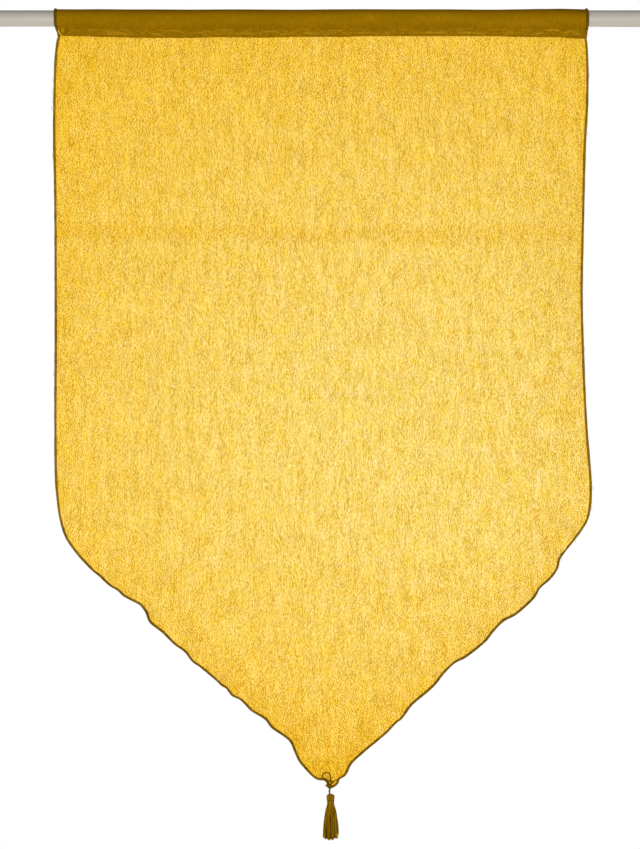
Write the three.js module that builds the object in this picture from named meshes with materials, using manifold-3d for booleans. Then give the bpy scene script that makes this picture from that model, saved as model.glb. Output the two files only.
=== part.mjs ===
// Pointed cafe curtain on its rod: a sheer cloth panel that hangs from a rod pocket,
// with an overlocked roll along its edge and a small tassel at the point.
// Millimetres, +Z up. The origin is on the rod's axis, above the middle of the curtain.
// +X is to the right as seen from the room, and +Y goes away from the room.

import * as THREE from "three";
import { mergeVertices } from "three/addons/utils/BufferGeometryUtils.js";
import Module from "manifold-3d";

const wasm = await Module();
wasm.setup();

// Driving dimensions
const ROD = { diameter: 19, length: 780, chamfer: 0.8, sides: 48 };
const CLOTH = 1.1; // thickness of a single layer
const GAP = 0.3; // air between pieces that touch on the real curtain
const POCKET = { seam: 16, apex: 14.2, flap: 2.4, arcSteps: 9, steps: 24 };
const ROLL = { wide: 2.5, thick: 1.8, sides: 6 }; // overlocked edge of the panel
const MOUTH_ROLL = { wide: 3, thick: 1.9, sides: 6 };
const RIPPLE_REACH = 26; // how far the edge's ripples run into the cloth
const SEAM_HOLD = 130; // below the seam the cloth takes this far to leave its flat plane
const POINT_HOLD = 65; // and above the point it comes back to that plane within this

// Rows of the panel down its straight sides and round its point, and columns across it:
// close beside the rippled edges, wider between them, and an even pitch where it is narrow.
const PANEL = { sideRows: 17, pointRows: 74, sideShare: 0.52 };
const COLUMNS = { besideEdge: [6, 14, 25], middlePitch: 31, narrowPitch: 11 };
const EDGE_SAMPLES = 700;
const SLOPE_REACH = 0.5; // distance over which the cloth's slope is taken

// The heading, from left to right: how far the cloth stands off the rod's top, and how deep
// its lower edge hangs below the rod's axis.
const HEADING_ROWS = [
  { at: -299, stands: 0.3, hem: 19.6 },
  { at: -279, stands: 0.2, hem: 19.6 },
  { at: -250, stands: 0.5, hem: 20.5 },
  { at: -205, stands: 0.1, hem: 21.5 },
  { at: -160, stands: 0.0, hem: 21.7 },
  { at: -110, stands: 0.2, hem: 20.8 },
  { at: -70, stands: 0.0, hem: 21.4 },
  { at: -30, stands: 0.0, hem: 20.5 },
  { at: 20, stands: 0.2, hem: 20.5 },
  { at: 60, stands: 0.4, hem: 19.6 },
  { at: 130, stands: 0.2, hem: 19.7 },
  { at: 200, stands: 0.0, hem: 19.7 },
  { at: 225, stands: 0.2, hem: 20.5 },
  { at: 255, stands: 0.6, hem: 20.7 },
  { at: 275, stands: 0.9, hem: 21.0 },
  { at: 292, stands: 0.6, hem: 22.3 },
  { at: 303, stands: 0.3, hem: 22.3 },
];

// Each open end of the pocket, as the middle of its roll: how far out it stands at a height.
const MOUTH_ROWS = {
  left: [
    { height: 12, out: 299.6 },
    { height: 6, out: 301.3 },
    { height: -6, out: 301.4 },
    { height: -11, out: 300.2 },
    { height: -16, out: 298.1 },
    { height: -22, out: 296.2 },
  ],
  right: [
    { height: 12, out: 300.8 },
    { height: 6, out: 302.2 },
    { height: -9, out: 302.2 },
    { height: -12, out: 301.2 },
    { height: -17, out: 300.1 },
    { height: -23, out: 299.2 },
  ],
};

// The panel's edge, as the middle of its roll: a row for each crest and hollow down to the
// point. Lift is how far the ripple stands towards the room.
const EDGE_ROWS = {
  left: [
    { down: 21.5, out: 297.2, lift: 0 },
    { down: 47, out: 300.7, lift: 1 },
    { down: 115, out: 302.7, lift: 4 },
    { down: 154, out: 302, lift: 3 },
    { down: 178, out: 301, lift: -1 },
    { down: 262, out: 300.5, lift: -3 },
    { down: 364, out: 300.7, lift: -1 },
    { down: 450, out: 301, lift: 2 },
    { down: 522, out: 300.2, lift: 0 },
    { down: 545, out: 298.4, lift: -2 },
    { down: 566, out: 296, lift: -2 },
    { down: 587, out: 289.8, lift: 2 },
    { down: 602, out: 278.5, lift: 3 },
    { down: 624, out: 258.7, lift: -2 },
    { down: 630.5, out: 250.7, lift: -3 },
    { down: 641, out: 239.2, lift: 1 },
    { down: 647, out: 230.5, lift: 3 },
    { down: 653, out: 224.4, lift: 1 },
    { down: 662.5, out: 205, lift: -4 },
    { down: 672, out: 197.7, lift: -1 },
    { down: 682, out: 193.5, lift: 4 },
    { down: 695, out: 179.2, lift: -2 },
    { down: 707.5, out: 166, lift: -4 },
    { down: 716, out: 153.8, lift: 1 },
    { down: 727, out: 145, lift: 4 },
    { down: 733.5, out: 136.2, lift: -1 },
    { down: 749, out: 117.9, lift: -3 },
    { down: 754.5, out: 112.5, lift: 2 },
    { down: 765, out: 101.5, lift: 3 },
    { down: 770.5, out: 91.5, lift: -2 },
    { down: 782, out: 79.5, lift: -1 },
    { down: 792.5, out: 62.5, lift: 4 },
    { down: 802, out: 55.3, lift: -1 },
    { down: 817, out: 35.3, lift: -4 },
    { down: 829, out: 29.3, lift: 3 },
    { down: 846, out: 19, lift: 1 },
    { down: 857, out: 10, lift: -2 },
    { down: 861, out: 0, lift: -1 },
    { down: 864.5, out: -6, lift: 0 },
    { down: 870.3, out: -10.4, lift: 0 },
  ],
  right: [
    { down: 23.5, out: 299.9, lift: 0 },
    { down: 47, out: 300.9, lift: 2 },
    { down: 95, out: 300.8, lift: 3 },
    { down: 143, out: 298.5, lift: -1 },
    { down: 239, out: 296.5, lift: -4 },
    { down: 302, out: 295.2, lift: -5 },
    { down: 375, out: 296.5, lift: -3 },
    { down: 466, out: 300.3, lift: 2 },
    { down: 525, out: 305.2, lift: 3 },
    { down: 548, out: 305, lift: 1 },
    { down: 566, out: 301.2, lift: -2 },
    { down: 578, out: 294.5, lift: -3 },
    { down: 589, out: 287, lift: 2 },
    { down: 602, out: 276, lift: -3 },
    { down: 611, out: 269.3, lift: 2 },
    { down: 622, out: 266.4, lift: 4 },
    { down: 634, out: 258.3, lift: 0 },
    { down: 644, out: 247, lift: -4 },
    { down: 655, out: 240, lift: 1 },
    { down: 674, out: 218.7, lift: 3 },
    { down: 681, out: 206, lift: -2 },
    { down: 695, out: 192.6, lift: -3 },
    { down: 704, out: 185.2, lift: 2 },
    { down: 722, out: 162.7, lift: 3 },
    { down: 729, out: 150.5, lift: -3 },
    { down: 741, out: 138.2, lift: -4 },
    { down: 754.5, out: 127, lift: 2 },
    { down: 772, out: 106.7, lift: 1 },
    { down: 778, out: 100.7, lift: -3 },
    { down: 792, out: 90.2, lift: 2 },
    { down: 796, out: 84.8, lift: 3 },
    { down: 807.5, out: 74, lift: -2 },
    { down: 817, out: 63, lift: -3 },
    { down: 830, out: 46.7, lift: 2 },
    { down: 843, out: 33.2, lift: 3 },
    { down: 856, out: 26.5, lift: -1 },
    { down: 860.5, out: 19.8, lift: -1 },
    { down: 865, out: 18.3, lift: 0 },
    { down: 868.4, out: 14.5, lift: 0 },
    { down: 870.3, out: 10.4, lift: 0 },
  ],
};

// Soft folds of the hanging cloth and the two level creases of its packing. Lean is the
// fold's slant from upright, in degrees, and rise is its depth, positive towards the room.
const FOLD_ROWS = [
  { across: -232, down: 330, lean: 0, length: 260, width: 62, rise: -5 },
  { across: -95, down: 470, lean: 5, length: 290, width: 80, rise: 4.5 },
  { across: 62, down: 560, lean: -6, length: 300, width: 84, rise: -5 },
  { across: 196, down: 430, lean: 4, length: 280, width: 70, rise: 5 },
  { across: 292, down: 300, lean: 0, length: 190, width: 40, rise: -4 },
  { across: 4, down: 770, lean: 3, length: 130, width: 62, rise: 4 },
  { across: 150, down: 450, lean: 76, length: 150, width: 15, rise: 1 },
  { across: -150, down: 243, lean: 90, length: 240, width: 9, rise: -2 },
  { across: 170, down: 243, lean: 89, length: 220, width: 9, rise: -2.2 },
  { across: -20, down: 627, lean: 91, length: 250, width: 13, rise: 1.6 },
];

const TIE = { thread: 1.2, sides: 6, steps: 22 };
const KNOT = { across: 9, down: 866.5, wide: 7.6, tall: 9.4, deep: 4.4, sides: 12, rings: 8 };
const TASSEL = { across: 10.4, top: 877.5, length: 52.3, neckDown: 10.4, lean: 0.5 };

// The loose ring of thread that lies on the cloth, from the knot round to the knot again.
const RING_ROWS = [
  { across: 10.3, down: 864 },
  { across: 10.5, down: 857.3 },
  { across: 9.2, down: 854.4 },
  { across: 5.8, down: 853.1 },
  { across: 2.5, down: 854.4 },
  { across: 1.2, down: 857.4 },
  { across: 2.5, down: 860.2 },
  { across: 7.5, down: 863.5 },
];

// The tassel's wound head, from its top down: each radius and its depth below the top.
const TASSEL_HEAD_ROWS = [
  { down: 0, radius: 2.6 },
  { down: 1.3, radius: 4.0 },
  { down: 3.6, radius: 4.4 },
  { down: 6.4, radius: 4.0 },
  { down: 7.5, radius: 3.2 },
  { down: 8.6, radius: 3.7 },
  { down: 11.4, radius: 3.8 },
];

// The strands in rings around the tassel's axis: where their middles leave the head and
// where they end, and each lock's width at both.
const STRAND_RINGS = [
  { count: 20, root: 3.0, end: 8.3, rootWide: 0.72, endWide: 2.1 },
  { count: 12, root: 1.9, end: 5.1, rootWide: 0.7, endWide: 2.0 },
  { count: 5, root: 0.9, end: 2.1, rootWide: 0.6, endWide: 1.5 },
];
const STRAND = { sections: 5, sides: 4, spreadPower: 0.62, uneven: 1.3, unevenTurn: 2.4 };
const HEAD_SIDES = 16;

const COLOURS = {
  sheer: { color: 0xf2cf64, roughness: 0.85, metalness: 0 },
  mustard: { color: 0x8f6802, roughness: 0.85, metalness: 0 },
  thread: { color: 0x70520a, roughness: 0.8, metalness: 0 },
  rod: { color: 0xc0b9ac, roughness: 0.35, metalness: 0.2 },
};

// Helpers

// One column of a table as a smooth function of another, level past its first and last row.
function column(rows, key, value) {
  const rising = [...rows].sort((a, b) => a[key] - b[key]);
  return (place) => {
    const next = rising.findIndex((row) => row[key] >= place);
    if (next === 0) return rising[0][value];
    if (next < 0) return rising.at(-1)[value];
    const from = rising[next - 1];
    const to = rising[next];
    const share = THREE.MathUtils.smoothstep(place, from[key], to[key]);
    return THREE.MathUtils.lerp(from[value], to[value], share);
  };
}

// A curve through fixed stations, so that a swept roll turns exactly where they lie.
class StationCurve extends THREE.Curve {
  constructor(stations) {
    super();
    this.stations = stations;
  }
  getPoint(t, target = new THREE.Vector3()) {
    const place = THREE.MathUtils.clamp(t, 0, 1) * (this.stations.length - 1);
    const from = Math.min(Math.floor(place), this.stations.length - 2);
    return target.lerpVectors(this.stations[from], this.stations[from + 1], place - from);
  }
  getUtoTmapping(u) {
    return u;
  }
}

// A closed roll of elliptical section along stations; `thick` lies across the curve's plane.
function rollAlong(stations, thick, wide, sides) {
  const section = new THREE.Shape();
  for (let i = 0; i < sides; i += 1) {
    const turn = ((i + 0.5) / sides) * Math.PI * 2;
    const corner = [(thick / 2) * Math.cos(turn), (wide / 2) * Math.sin(turn)];
    if (i === 0) section.moveTo(...corner);
    else section.lineTo(...corner);
  }
  section.closePath();
  return new THREE.ExtrudeGeometry(section, {
    steps: stations.length - 1,
    extrudePath: new StationCurve(stations),
    bevelEnabled: false,
  });
}

function geometryOf(points, triangles) {
  const geometry = new THREE.BufferGeometry();
  geometry.setAttribute("position", new THREE.Float32BufferAttribute(points.flat(), 3));
  geometry.setIndex(triangles.flat());
  return geometry;
}

// A geometry as a closed solid, ready to be joined to others.
function solidOf(geometry) {
  const bare = new THREE.BufferGeometry();
  bare.setAttribute("position", geometry.getAttribute("position").clone());
  if (geometry.index) bare.setIndex(geometry.index.clone());
  const merged = mergeVertices(bare, 1e-4);
  const kept = [];
  for (let i = 0; i < merged.index.count; i += 3) {
    const [a, b, c] = merged.index.array.slice(i, i + 3);
    if (a !== b && b !== c && c !== a) kept.push(a, b, c);
  }
  const vertProperties = new Float32Array(merged.getAttribute("position").array);
  const triVerts = new Uint32Array(kept);
  return new wasm.Manifold(new wasm.Mesh({ numProp: 3, vertProperties, triVerts }));
}

function geometryOfSolid(solid) {
  const { vertProperties, triVerts } = solid.getMesh();
  const geometry = new THREE.BufferGeometry();
  geometry.setAttribute("position", new THREE.BufferAttribute(vertProperties, 3));
  geometry.setIndex(new THREE.BufferAttribute(triVerts, 1));
  return geometry;
}

const curtain = new THREE.Group();

function addPiece(name, geometry, colour) {
  geometry.computeVertexNormals();
  const piece = new THREE.Mesh(geometry, new THREE.MeshStandardMaterial(colour));
  piece.name = name;
  curtain.add(piece);
}

// Rod: round, with a small chamfer at each flat end
function makeRod() {
  const { diameter, length, chamfer, sides } = ROD;
  const radius = diameter / 2;
  const half = length / 2;
  const profile = [
    new THREE.Vector2(0, -half),
    new THREE.Vector2(radius - chamfer, -half),
    new THREE.Vector2(radius, chamfer - half),
    new THREE.Vector2(radius, half - chamfer),
    new THREE.Vector2(radius - chamfer, half),
    new THREE.Vector2(0, half),
  ];
  return new THREE.LatheGeometry(profile, sides).rotateZ(-Math.PI / 2);
}

// Heading: cloth looped over the rod, its two layers sewn flat below it. The section is a
// keyhole, and the pocket through it is a teardrop round the rod.
const topStand = column(HEADING_ROWS, "at", "stands");
const hemDepth = column(HEADING_ROWS, "at", "hem");
const leftMouth = column(MOUTH_ROWS.left, "height", "out");
const rightMouth = column(MOUTH_ROWS.right, "height", "out");

// Half of a loop that hugs a circle and runs straight down to a foot beside its middle.
function hugLine(radius, footOut, footDown, lift) {
  const reach = Math.hypot(footOut, footDown);
  const footTurn = Math.atan2(-footDown, footOut);
  const start = footTurn + Math.acos(radius / reach);
  const line = [];
  for (let i = 0; i <= POCKET.arcSteps; i += 1) {
    const turn = THREE.MathUtils.lerp(start, Math.PI / 2, i / POCKET.arcSteps);
    const raise = lift * Math.max(0, Math.sin(turn));
    line.push([radius * Math.cos(turn), radius * Math.sin(turn) + raise]);
  }
  return line;
}

// A half line (depth, height) from the foot to the top, closed by its mirror image.
function mirrored(half) {
  const back = half
    .filter(([depth]) => depth > 1e-6)
    .reverse()
    .map(([depth, height]) => [-depth, height]);
  return [...half, ...back];
}

function headingSection(at) {
  const inner = ROD.diameter / 2 + GAP;
  const lift = topStand(at);
  const foot = POCKET.flap / 2;
  const hem = hemDepth(at);
  const overRod = hugLine(inner + CLOTH, foot, POCKET.seam, lift);
  const outerHalf = [[foot, -hem], [foot, -POCKET.seam], ...overRod];
  const innerHalf = [[0, -POCKET.apex], ...hugLine(inner, 0, POCKET.apex, lift)];
  return { outer: mirrored(outerHalf), inner: mirrored(innerHalf) };
}

function headingPoint(share, [depth, height]) {
  const clear = MOUTH_ROLL.wide / 2 + GAP;
  const left = clear - leftMouth(height);
  const right = rightMouth(height) - clear;
  return [THREE.MathUtils.lerp(left, right, share), depth, height];
}

function makeHeading() {
  const points = [];
  const triangles = [];
  const span = HEADING_ROWS.at(-1).at - HEADING_ROWS[0].at;
  const sections = [];
  for (let i = 0; i <= POCKET.steps; i += 1) {
    const share = i / POCKET.steps;
    const { outer, inner } = headingSection(HEADING_ROWS[0].at + share * span);
    sections.push({ outer: points.length, inner: points.length + outer.length });
    for (const place of [...outer, ...inner]) points.push(headingPoint(share, place));
  }
  const { outer, inner } = headingSection(HEADING_ROWS[0].at);
  const wall = (from, to, count, outward) => {
    for (let j = 0; j < count; j += 1) {
      const k = (j + 1) % count;
      const quad = outward
        ? [[from + j, from + k, to + k], [from + j, to + k, to + j]]
        : [[from + j, to + k, from + k], [from + j, to + j, to + k]];
      triangles.push(...quad);
    }
  };
  for (let i = 0; i < POCKET.steps; i += 1) {
    wall(sections[i].outer, sections[i + 1].outer, outer.length, true);
    wall(sections[i].inner, sections[i + 1].inner, inner.length, false);
  }
  const flat = (loop) => loop.map(([depth, height]) => new THREE.Vector2(depth, height));
  const cap = THREE.ShapeUtils.triangulateShape(flat(outer), [flat(inner)]);
  const left = sections[0].outer;
  const right = sections.at(-1).outer;
  for (const [a, b, c] of cap) {
    triangles.push([left + a, left + c, left + b], [right + a, right + b, right + c]);
  }
  return geometryOf(points, triangles);
}

// Mouth roll: follows the cloth over the rod and down to the hem, open at its foot
function makeMouthRoll(side, mouth, hem) {
  const middle = ROD.diameter / 2 + GAP + MOUTH_ROLL.thick / 2;
  const foot = POCKET.flap / 2 + MOUTH_ROLL.thick / 2;
  const bottom = hem - MOUTH_ROLL.thick / 2;
  const half = [[foot, -bottom], [foot, -POCKET.seam], ...hugLine(middle, foot, POCKET.seam, 0)];
  const line = mirrored(half);
  const stations = line.map(([depth, height]) => new THREE.Vector3(side * mouth(height), depth, height));
  return rollAlong(stations, MOUTH_ROLL.thick, MOUTH_ROLL.wide, MOUTH_ROLL.sides);
}

// Edge of the panel: each side is a smooth curve through its crests and hollows
function edgeCurve(rows, side) {
  const places = rows.map(({ down, out, lift }) => new THREE.Vector3(side * out, -lift, -down));
  const curve = new THREE.CatmullRomCurve3(places, false, "centripetal");
  curve.arcLengthDivisions = 2 * EDGE_SAMPLES;
  return curve;
}
const edges = [edgeCurve(EDGE_ROWS.left, -1), edgeCurve(EDGE_ROWS.right, 1)];
const edgeSamples = edges.map((edge) => edge.getSpacedPoints(EDGE_SAMPLES));

// Depth of the cloth at a place: broad folds, and each edge's ripples dying out inwards.
function foldDepth(across, down) {
  let depth = 0;
  for (const fold of FOLD_ROWS) {
    const lean = THREE.MathUtils.degToRad(fold.lean);
    const x = across - fold.across;
    const y = down - fold.down;
    const along = (x * Math.sin(lean) + y * Math.cos(lean)) / fold.length;
    const over = (x * Math.cos(lean) - y * Math.sin(lean)) / fold.width;
    depth -= fold.rise * Math.exp(-(along ** 4) - over ** 2);
  }
  return depth;
}

function rippleDepth(across, down, samples) {
  let nearest = Infinity;
  let lift = 0;
  for (const sample of samples) {
    const distance = (sample.x - across) ** 2 + (sample.z + down) ** 2;
    if (distance < nearest) {
      nearest = distance;
      lift = sample.y;
    }
  }
  return lift * Math.exp(-nearest / RIPPLE_REACH ** 2);
}

const hemMiddle = hemDepth(0);
const pointDown = EDGE_ROWS.left.at(-1).down;

function clothDepth(across, down) {
  const leaveSeam = THREE.MathUtils.smoothstep(down, hemMiddle, hemMiddle + SEAM_HOLD);
  const reachPoint = THREE.MathUtils.smoothstep(pointDown - down, 0, POINT_HOLD);
  const ripples = edgeSamples.map((samples) => rippleDepth(across, down, samples));
  return foldDepth(across, down) * leaveSeam * reachPoint + ripples[0] + ripples[1];
}

function clothNormal(across, down) {
  const near = SLOPE_REACH;
  return new THREE.Vector3(
    clothDepth(across - near, down) - clothDepth(across + near, down),
    2 * near,
    clothDepth(across, down + near) - clothDepth(across, down - near),
  ).normalize();
}

// Places of the rows along both edges, close together where the edge ripples.
function rowShares() {
  const shares = [];
  for (let i = 0; i < PANEL.sideRows; i += 1) shares.push((i / PANEL.sideRows) * PANEL.sideShare);
  for (let i = 0; i <= PANEL.pointRows; i += 1) {
    shares.push(THREE.MathUtils.lerp(PANEL.sideShare, 1, i / PANEL.pointRows));
  }
  return shares;
}
const shares = rowShares();
const edgeStations = edges.map((edge) =>
  shares.map((share) => {
    const place = edge.getPointAt(share);
    return new THREE.Vector3(place.x, clothDepth(place.x, -place.z), place.z);
  }),
);

// Edging: one roll from seam to seam, round the point
function makeEdging() {
  const [left, right] = edgeStations;
  const stations = [...left.slice(0, -1), ...right.slice().reverse()];
  return rollAlong(stations, ROLL.thick, ROLL.wide, ROLL.sides);
}

// Panel: rows from one edge to the other, held clear of the roll
function insetStations(stations, side) {
  const inset = ROLL.wide / 2 + GAP;
  return stations.map((place, i) => {
    const before = stations[Math.max(i - 1, 0)];
    const after = stations[Math.min(i + 1, stations.length - 1)];
    const along = new THREE.Vector2(after.x - before.x, after.z - before.z).normalize();
    return new THREE.Vector2(place.x + side * along.y * inset, place.z - side * along.x * inset);
  });
}

function evenPlaces(from, to, pitch) {
  const count = Math.max(1, Math.round((to - from) / pitch));
  return Array.from({ length: count + 1 }, (_, i) => from + ((to - from) * i) / count);
}

// Shares across a row: fine by the rippled edges and even between them.
function columnShares(width) {
  const { besideEdge, middlePitch, narrowPitch } = COLUMNS;
  const reach = besideEdge.at(-1);
  if (width < 4 * reach) return evenPlaces(0, width, narrowPitch).map((place) => place / width);
  const beside = [0, ...besideEdge.slice(0, -1)];
  const mirroredBeside = beside.map((place) => width - place).reverse();
  const middle = evenPlaces(reach, width - reach, middlePitch);
  return [...beside, ...middle, ...mirroredBeside].map((place) => place / width);
}

function makePanel() {
  const [left, right] = edgeStations.map((stations, i) => insetStations(stations, i === 0 ? -1 : 1));
  const rows = left.slice(0, -1).map((start, i) => {
    const end = right[i];
    return columnShares(start.distanceTo(end)).map((share) => {
      const place = start.clone().lerp(end, share);
      if (i === 0) place.y = -hemDepth(place.x) - GAP;
      return place;
    });
  });
  const points = [];
  const layer = (offset) =>
    rows.map((row) =>
      row.map(({ x, y }) => {
        const place = new THREE.Vector3(x, clothDepth(x, -y), y);
        points.push(place.addScaledVector(clothNormal(x, -y), offset).toArray());
        return points.length - 1;
      }),
    );
  const front = layer(-CLOTH / 2);
  const back = layer(CLOTH / 2);
  const triangles = [];
  // Joins two rows of unlike counts by stepping along whichever lags behind.
  const joinRows = (upper, lower, towardsRoom) => {
    let i = 0;
    let j = 0;
    while (i < upper.length - 1 || j < lower.length - 1) {
      const stepUpper = j === lower.length - 1
        || (i < upper.length - 1 && points[upper[i + 1]][0] <= points[lower[j + 1]][0]);
      const triangle = stepUpper ? [upper[i], lower[j], upper[i + 1]] : [upper[i], lower[j], lower[j + 1]];
      triangles.push(towardsRoom ? triangle : triangle.reverse());
      if (stepUpper) i += 1;
      else j += 1;
    }
  };
  for (let r = 0; r < rows.length - 1; r += 1) {
    joinRows(front[r], front[r + 1], true);
    joinRows(back[r], back[r + 1], false);
  }
  const rim = [
    ...front.map((row) => row[0]),
    ...front.at(-1).slice(1, -1),
    ...front.map((row) => row.at(-1)).reverse(),
    ...front[0].slice(1, -1).reverse(),
  ];
  const toBack = points.length / 2;
  rim.forEach((from, i) => {
    const to = rim[(i + 1) % rim.length];
    triangles.push([from, from + toBack, to + toBack], [from, to + toBack, to]);
  });
  return geometryOf(points, triangles);
}

// Tassel tie: a ring of thread in front of the cloth, a knot over the point and a stem
const tieDepth = -(ROLL.thick / 2 + GAP + TIE.thread / 2);
const knotDepth = -(ROLL.thick / 2 + GAP + KNOT.deep / 2);

function makeTie() {
  const places = RING_ROWS.map(({ across, down }) => new THREE.Vector3(across, tieDepth, -down));
  const loop = new THREE.CatmullRomCurve3(places).getSpacedPoints(TIE.steps);
  const knotCentre = new THREE.Vector3(KNOT.across, knotDepth, -KNOT.down);
  const stem = [knotCentre, new THREE.Vector3(TASSEL.across, knotDepth, -TASSEL.top + GAP)];
  const knot = new THREE.SphereGeometry(0.5, KNOT.sides, KNOT.rings).rotateX(Math.PI / 2);
  knot.scale(KNOT.wide, KNOT.deep, KNOT.tall).translate(...knotCentre.toArray());
  const parts = [
    rollAlong(loop, TIE.thread, TIE.thread, TIE.sides),
    rollAlong(stem, TIE.thread, TIE.thread, TIE.sides),
    knot,
  ];
  return geometryOfSolid(parts.map(solidOf).reduce((whole, part) => whole.add(part)));
}

// Tassel: a wound head, with rings of locks that leave its collar and stand apart
function makeStrand(ring, index, phase) {
  const turn = ((index + phase) / ring.count) * Math.PI * 2;
  const uneven = (1 + Math.sin(index * STRAND.unevenTurn + phase)) * (STRAND.uneven / 2);
  const rootDown = TASSEL.neckDown;
  const endDown = TASSEL.length - uneven;
  const points = [];
  for (let i = 0; i < STRAND.sections; i += 1) {
    const share = i / (STRAND.sections - 1);
    const out = THREE.MathUtils.lerp(ring.root, ring.end, share ** STRAND.spreadPower);
    const half = THREE.MathUtils.lerp(ring.rootWide, ring.endWide, share ** STRAND.spreadPower) / 2;
    const down = THREE.MathUtils.lerp(rootDown, endDown, share);
    for (let k = 0; k < STRAND.sides; k += 1) {
      const corner = ((k + 0.5) / STRAND.sides) * Math.PI * 2;
      const radial = out + Math.cos(corner) * half * Math.SQRT2;
      const sideways = Math.sin(corner) * half * Math.SQRT2;
      const x = radial * Math.cos(turn) - sideways * Math.sin(turn) + TASSEL.lean * share;
      const y = radial * Math.sin(turn) + sideways * Math.cos(turn);
      points.push([x, y, -down]);
    }
  }
  const triangles = [];
  const sides = STRAND.sides;
  for (let i = 0; i < STRAND.sections - 1; i += 1) {
    for (let k = 0; k < sides; k += 1) {
      const a = i * sides + k;
      const b = i * sides + ((k + 1) % sides);
      triangles.push([a, a + sides, b + sides], [a, b + sides, b]);
    }
  }
  const last = (STRAND.sections - 1) * sides;
  for (let k = 1; k < sides - 1; k += 1) {
    triangles.push([0, k, k + 1], [last, last + k + 1, last + k]);
  }
  return geometryOf(points, triangles);
}

function makeTassel() {
  const profile = TASSEL_HEAD_ROWS.map(({ down, radius }) => new THREE.Vector2(radius, -down));
  profile.unshift(new THREE.Vector2(0, 0));
  profile.push(new THREE.Vector2(0, -TASSEL_HEAD_ROWS.at(-1).down));
  profile.reverse();
  const head = new THREE.LatheGeometry(profile, HEAD_SIDES).rotateX(Math.PI / 2);
  const pieces = [head];
  STRAND_RINGS.forEach((ring, r) => {
    for (let i = 0; i < ring.count; i += 1) pieces.push(makeStrand(ring, i, r * 0.5));
  });
  const solid = pieces.map(solidOf).reduce((whole, part) => whole.add(part));
  return geometryOfSolid(solid).translate(TASSEL.across, knotDepth, -TASSEL.top);
}

addPiece("rod", makeRod(), COLOURS.rod);
addPiece("heading", makeHeading(), COLOURS.mustard);
addPiece("mouth_edging_left", makeMouthRoll(-1, leftMouth, HEADING_ROWS[0].hem), COLOURS.thread);
addPiece("mouth_edging_right", makeMouthRoll(1, rightMouth, HEADING_ROWS.at(-1).hem), COLOURS.thread);
addPiece("panel", makePanel(), COLOURS.sheer);
addPiece("edging", makeEdging(), COLOURS.thread);
addPiece("tassel_tie", makeTie(), COLOURS.thread);
addPiece("tassel", makeTassel(), COLOURS.thread);

export default curtain;
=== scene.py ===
# Pointed cafe curtain on its rod: sheer slub cloth under a dark rod pocket, with an
# overlocked edge and a small tassel at the point. Tables are in millimetres, from the
# rod's axis above the middle of the cloth; what goes to Blender is in metres.

import math

import bpy
import numpy as np
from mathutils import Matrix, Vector


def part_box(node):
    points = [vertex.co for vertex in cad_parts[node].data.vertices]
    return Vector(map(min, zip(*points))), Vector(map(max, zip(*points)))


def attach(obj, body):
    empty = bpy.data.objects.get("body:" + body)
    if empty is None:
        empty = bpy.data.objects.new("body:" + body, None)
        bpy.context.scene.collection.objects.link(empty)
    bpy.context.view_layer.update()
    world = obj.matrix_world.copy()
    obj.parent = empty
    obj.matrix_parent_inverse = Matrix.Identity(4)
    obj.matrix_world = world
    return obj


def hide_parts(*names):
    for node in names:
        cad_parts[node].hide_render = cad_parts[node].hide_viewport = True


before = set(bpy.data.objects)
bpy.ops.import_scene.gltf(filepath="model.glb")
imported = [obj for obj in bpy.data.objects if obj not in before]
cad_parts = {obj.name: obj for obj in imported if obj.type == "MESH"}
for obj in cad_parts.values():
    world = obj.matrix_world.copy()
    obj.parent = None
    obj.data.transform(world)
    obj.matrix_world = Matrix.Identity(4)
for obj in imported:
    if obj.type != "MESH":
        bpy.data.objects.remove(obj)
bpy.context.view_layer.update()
bpy.ops.object.select_all(action="DESELECT")
scene = bpy.context.scene


# Camera: square to the cloth and level with its middle, far off behind a long lens, as the
# picture was taken.
MM = 0.001
PIXEL = 1.132  # how much of the cloth one of the picture's pixels shows
PICTURE = (640, 849)
ROD_ROW = 18.7  # the rod's axis, in pixels below the picture's top
MIDDLE_COLUMN = 321.3  # the cloth's middle, in pixels from the picture's left edge
CAMERA_AWAY = 4800

camera_data = bpy.data.cameras.new("camera")
camera_data.lens = camera_data.sensor_width * CAMERA_AWAY / (PICTURE[1] * PIXEL)
camera = bpy.data.objects.new("camera", camera_data)
scene.collection.objects.link(camera)
camera.location = Vector((
    (PICTURE[0] / 2 - MIDDLE_COLUMN) * PIXEL,
    -CAMERA_AWAY,
    (ROD_ROW - PICTURE[1] / 2) * PIXEL,
)) * MM
camera.rotation_euler = (math.pi / 2, 0, 0)
scene.camera = camera


# Rod: a straight steel tube in satin grey-beige lacquer, which runs on past the cloth on
# both sides. Its ends are cut square, with broken edges.
ROD_SIDES = 128
ROD_EDGE = 0.8

rod_low, rod_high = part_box("rod")
ROD_RADIUS = (rod_high.z - rod_low.z) / 2 / MM
bpy.ops.mesh.primitive_cylinder_add(
    vertices=ROD_SIDES,
    radius=ROD_RADIUS * MM,
    depth=rod_high.x - rod_low.x,
    rotation=(0, math.pi / 2, 0),
)
rod = bpy.context.object
rod.name = "lacquered_rod"
bpy.ops.object.transform_apply(location=True, rotation=True, scale=True)
bevel = rod.modifiers.new("broken edge", "BEVEL")
bevel.width = ROD_EDGE * MM
bevel.segments = 3
bevel.limit_method = "ANGLE"
bevel.angle_limit = math.radians(60)
bpy.ops.object.modifier_apply(modifier=bevel.name)
bpy.ops.object.shade_smooth_by_angle(angle=math.radians(40))


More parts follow.
